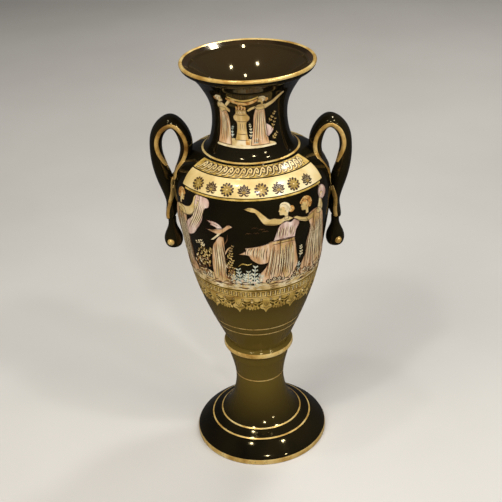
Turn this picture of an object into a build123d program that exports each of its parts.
from build123d import *
import os

# A free-standing two-handled amphora of glazed ceramic, in millimetres.
# The vase turns about Z, its foot rests on Z = 0 and its two handles lie along X.
# Foot, collar, body, neck, handles and their terminals are made apart and luted together.

HEIGHT = 355.0
WALL = 4.5

FOOT_RADIUS = 59.1
FOOT_EDGE_HEIGHT = 4.0
STEM_WAIST_RADIUS = 21.4
STEM_WAIST_HEIGHT = 58.0
FOOT_JOINT_HEIGHT = 96.0
JOINT_RADIUS = 27.0
HOLLOW_ROOF_HEIGHT = 90.0
FOOT_SPIGOT_RADIUS = 13.0
FOOT_SPIGOT_LENGTH = 4.0

COLLAR_SECTION_RADIUS = 4.8
COLLAR_RING_RADIUS = 25.8

BELLY_RADIUS = 64.6
BELLY_HEIGHT = 246.0
BODY_FLOOR_HEIGHT = 107.0
NECK_JOINT_HEIGHT = 284.2
NECK_JOINT_RADIUS = 37.8
NECK_SPIGOT_RADIUS = 31.0
NECK_SPIGOT_LENGTH = 7.0

THROAT_RADIUS = 30.0
THROAT_HEIGHT = 309.0
LIP_RADIUS = 53.5
LIP_UNDERSIDE_HEIGHT = 348.2
MOUTH_STEP_RADIUS = 46.5

HANDLE_HALF_DEPTH = 9.5
HANDLE_TOP = 311.5
HANDLE_REACH = 81.5
HANDLE_TIP_HEIGHT = 221.0
RIGHT_HANDLE_DROP = 4.0

TERMINAL_X = 68.2
TERMINAL_BOTTOM = 194.0
TERMINAL_RADIUS = 7.8
BOSS_X = 70.2
BOSS_HEIGHT = 200.6
BOSS_RADIUS = 3.0


def turned(*edges):
    """The solid that a closed half-section sweeps around the vase's axis."""
    return revolve(make_face(Wire(list(edges))), Axis.Z, 360)


def path(*corners):
    """The straight edges of a half-section that join these corners in turn."""
    return [Line(start, end) for start, end in zip(corners, corners[1:])]


def at(radius, height):
    """A point of a half-section, at this distance from the axis and this height."""
    return Vector(radius, 0, height)


def foot_outline():
    """The flared upper side of the foot, its waist and its widening stem, from the rim upwards."""
    return Spline(
        at(FOOT_RADIUS, FOOT_EDGE_HEIGHT),
        at(54.2, 10.2),
        at(45.2, 17.2),
        at(36.4, 21.8),
        at(28.6, 30.2),
        at(23.4, 43.4),
        at(STEM_WAIST_RADIUS, STEM_WAIST_HEIGHT),
        at(22.9, 72.0),
        at(25.4, 82.5),
        at(JOINT_RADIUS, 91.0),
        tangents=[(-0.3, 0, 1), (0.15, 0, 1)],
    )


def foot_hollow_outline():
    """The hollow under the foot, one wall inside its upper side, from the opening upwards."""
    return Spline(
        at(FOOT_RADIUS - WALL, 0),
        at(49.6, 7.4),
        at(42.2, 12.8),
        at(33.0, 17.6),
        at(24.6, 27.6),
        at(19.0, 42.0),
        at(STEM_WAIST_RADIUS - WALL, STEM_WAIST_HEIGHT),
        at(18.0, 72.5),
        at(19.6, 85.0),
        tangents=[(-0.3, 0, 1), (0.12, 0, 1)],
    )


def make_foot():
    """The pedestal foot and its stem, open underneath, with a spigot for the body."""
    outer = foot_outline()
    inner = foot_hollow_outline()
    spigot_top = FOOT_JOINT_HEIGHT + FOOT_SPIGOT_LENGTH
    return turned(
        *path(inner @ 0, at(FOOT_RADIUS, 0), outer @ 0),
        outer,
        *path(
            outer @ 1,
            at(JOINT_RADIUS, FOOT_JOINT_HEIGHT),
            at(FOOT_SPIGOT_RADIUS, FOOT_JOINT_HEIGHT),
            at(FOOT_SPIGOT_RADIUS, spigot_top),
            at(0, spigot_top),
            at(0, HOLLOW_ROOF_HEIGHT),
            at(16.0, HOLLOW_ROOF_HEIGHT),
            inner @ 1,
        ),
        inner,
    )


def make_stem_collar():
    """The half-round collar that covers the joint between the stem and the body."""
    ring = Torus(COLLAR_RING_RADIUS, COLLAR_SECTION_RADIUS)
    core = Cylinder(JOINT_RADIUS, 4 * COLLAR_SECTION_RADIUS)
    return Pos(0, 0, FOOT_JOINT_HEIGHT) * (ring - core)


def body_outline():
    """The outside of the body, from above the collar, over the belly, to the foot of the neck."""
    return Spline(
        at(JOINT_RADIUS, FOOT_JOINT_HEIGHT + COLLAR_SECTION_RADIUS),
        at(41.5, 134.9),
        at(53.0, 170.4),
        at(59.5, 206.0),
        at(BELLY_RADIUS, BELLY_HEIGHT),
        at(62.7, 263.9),
        at(52.5, 276.9),
        at(NECK_JOINT_RADIUS, NECK_JOINT_HEIGHT),
        tangents=[(0.42, 0, 1), (-1, 0, 0.5)],
    )


def body_hollow_outline():
    """The inside of the body, one wall within its outside, from the floor to the neck opening."""
    return Spline(
        at(24.5, BODY_FLOOR_HEIGHT + 2),
        at(37.0, 136.0),
        at(48.5, 171.0),
        at(55.0, 206.5),
        at(BELLY_RADIUS - WALL, BELLY_HEIGHT),
        at(58.4, 261.5),
        at(50.0, 272.6),
        at(NECK_SPIGOT_RADIUS, 280.2),
        tangents=[(0.42, 0, 1), (-1, 0, 0.36)],
    )


def body_envelope():
    """The body as if it were filled, which the handles and their terminals are cut back to."""
    outer = body_outline()
    return turned(
        *path(at(0, FOOT_JOINT_HEIGHT), at(JOINT_RADIUS, FOOT_JOINT_HEIGHT), outer @ 0),
        outer,
        *path(outer @ 1, at(0, NECK_JOINT_HEIGHT), at(0, FOOT_JOINT_HEIGHT)),
    )


def make_body():
    """The hollow body with a recess for the foot's spigot and an opening for the neck's."""
    outer = body_outline()
    inner = body_hollow_outline()
    recess_top = FOOT_JOINT_HEIGHT + FOOT_SPIGOT_LENGTH
    return turned(
        *path(
            at(0, recess_top),
            at(FOOT_SPIGOT_RADIUS, recess_top),
            at(FOOT_SPIGOT_RADIUS, FOOT_JOINT_HEIGHT),
            at(JOINT_RADIUS, FOOT_JOINT_HEIGHT),
            outer @ 0,
        ),
        outer,
        *path(outer @ 1, at(NECK_SPIGOT_RADIUS, NECK_JOINT_HEIGHT), inner @ 1),
        inner,
        *path(inner @ 0, at(22.0, BODY_FLOOR_HEIGHT), at(0, BODY_FLOOR_HEIGHT), at(0, recess_top)),
    )


def neck_outline():
    """The concave outside of the neck, from its joint up to the underside of the lip."""
    return Spline(
        at(NECK_JOINT_RADIUS, NECK_JOINT_HEIGHT),
        at(32.4, 292.6),
        at(THROAT_RADIUS, THROAT_HEIGHT),
        at(33.1, 326.6),
        at(39.4, 338.0),
        at(MOUTH_STEP_RADIUS, 346.4),
        tangents=[(-1, 0, 0.55), (1, 0, 1.05)],
    )


def make_neck():
    """The neck with its flared mouth, sloped lip and the spigot that enters the body."""
    outer = neck_outline()
    lip_face = ThreePointArc(at(49.6, LIP_UNDERSIDE_HEIGHT), at(52.4, 350.4), at(LIP_RADIUS, 353.4))
    lip_edge = ThreePointArc(lip_face @ 1, at(53.0, 354.6), at(51.9, HEIGHT))
    bevel = Line(lip_edge @ 1, at(MOUTH_STEP_RADIUS, 351.6))
    step = Line(bevel @ 1, at(45.6, 349.6))
    inner = Spline(
        step @ 1,
        at(35.2, 337.8),
        at(29.0, 326.4),
        at(THROAT_RADIUS - WALL + 0.5, THROAT_HEIGHT),
        at(NECK_SPIGOT_RADIUS - WALL, NECK_JOINT_HEIGHT - NECK_SPIGOT_LENGTH),
        tangents=[(-1, 0, -1.05), (0.1, 0, -1)],
    )
    spigot_bottom = at(NECK_SPIGOT_RADIUS, NECK_JOINT_HEIGHT - NECK_SPIGOT_LENGTH)
    spigot_top = at(NECK_SPIGOT_RADIUS, NECK_JOINT_HEIGHT)
    return turned(
        *path(inner @ 1, spigot_bottom, spigot_top, outer @ 0),
        outer,
        *path(outer @ 1, lip_face @ 0),
        lip_face,
        lip_edge,
        bevel,
        step,
        inner,
    )


def strap_section(x, z, lean, half_width, half_depth):
    """An oval slice across a handle on the +X side. lean is its tilt from a level slice, in degrees."""
    plane = Plane(origin=(x, 0, z), x_dir=(1, 0, 0), z_dir=(0, 0, 1)).rotated((0, lean, 0))
    return plane * Ellipse(half_width, half_depth)


def make_handle(envelope, drop):
    """A handle on the +X side: a thick strap that loops over the shoulder and ends in a thin leg."""
    slices = [
        strap_section(57.0, 264.5, -24, 4.6, 9.6),
        strap_section(55.0, 271.0, -20, 4.9, 9.8),
        strap_section(52.0, 283.5, -4, 5.1, HANDLE_HALF_DEPTH),
        strap_section(54.6, 297.5, 30, 5.3, HANDLE_HALF_DEPTH),
        strap_section(63.4, HANDLE_TOP - 5.5, 90, 5.5, HANDLE_HALF_DEPTH),
        strap_section(72.6, 299.8, 140, 5.3, HANDLE_HALF_DEPTH),
        strap_section(HANDLE_REACH - 5.0, 286.0, 180, 5.0, HANDLE_HALF_DEPTH),
        strap_section(75.2, 271.0, 190, 5.6, 10.0),
        strap_section(71.0, 256.5, 192, 6.4, 11.0),
        strap_section(68.4, 245.0, 185, 5.2, 11.0),
        strap_section(67.6, 234.0, 178, 4.3, 8.5),
        strap_section(69.6, HANDLE_TIP_HEIGHT, 180, 3.3, 5.0),
    ]
    return Pos(0, 0, -drop) * loft(slices) - envelope


def make_terminal(envelope, drop):
    """The bell under a handle's leg on the +X side, a waisted drop that leans on the body."""
    side = Spline(
        at(3.4, HANDLE_TIP_HEIGHT),
        at(3.5, 215.0),
        at(TERMINAL_RADIUS, TERMINAL_BOTTOM + 6.4),
        at(5.8, TERMINAL_BOTTOM + 0.9),
        at(0, TERMINAL_BOTTOM),
        tangents=[(0, 0, -1), (-1, 0, 0)],
    )
    bell = turned(side, *path(side @ 1, at(0, HANDLE_TIP_HEIGHT), side @ 0))
    return Pos(TERMINAL_X, 0, -drop) * bell - envelope


def make_eye_bosses(terminal, drop):
    """The two small raised bosses on the front and the back of a terminal on the +X side."""
    reach = TERMINAL_RADIUS - 1.2
    front = Pos(BOSS_X, -reach, BOSS_HEIGHT - drop) * Sphere(BOSS_RADIUS) - terminal
    back = Pos(BOSS_X, reach, BOSS_HEIGHT - drop) * Sphere(BOSS_RADIUS) - terminal
    return Compound(children=[*front.solids(), *back.solids()])


def make_side(envelope, drop):
    """The handle, terminal and bosses of one side, modelled on the +X side."""
    terminal = make_terminal(envelope, drop)
    return {
        "handle": make_handle(envelope, drop),
        "handle_terminal": terminal,
        "eye_bosses": make_eye_bosses(terminal, drop),
    }


def main():
    envelope = body_envelope()
    nodes = {
        "foot": make_foot(),
        "stem_collar": make_stem_collar(),
        "body": make_body(),
        "neck": make_neck(),
    }
    for name, shape in make_side(envelope, RIGHT_HANDLE_DROP).items():
        nodes[f"{name}_right"] = shape
    for name, shape in make_side(envelope, 0).items():
        nodes[f"{name}_left"] = mirror(shape, about=Plane.YZ)
    os.makedirs("parts", exist_ok=True)
    for name, shape in nodes.items():
        export_step(shape, f"parts/{name}.step")


main()
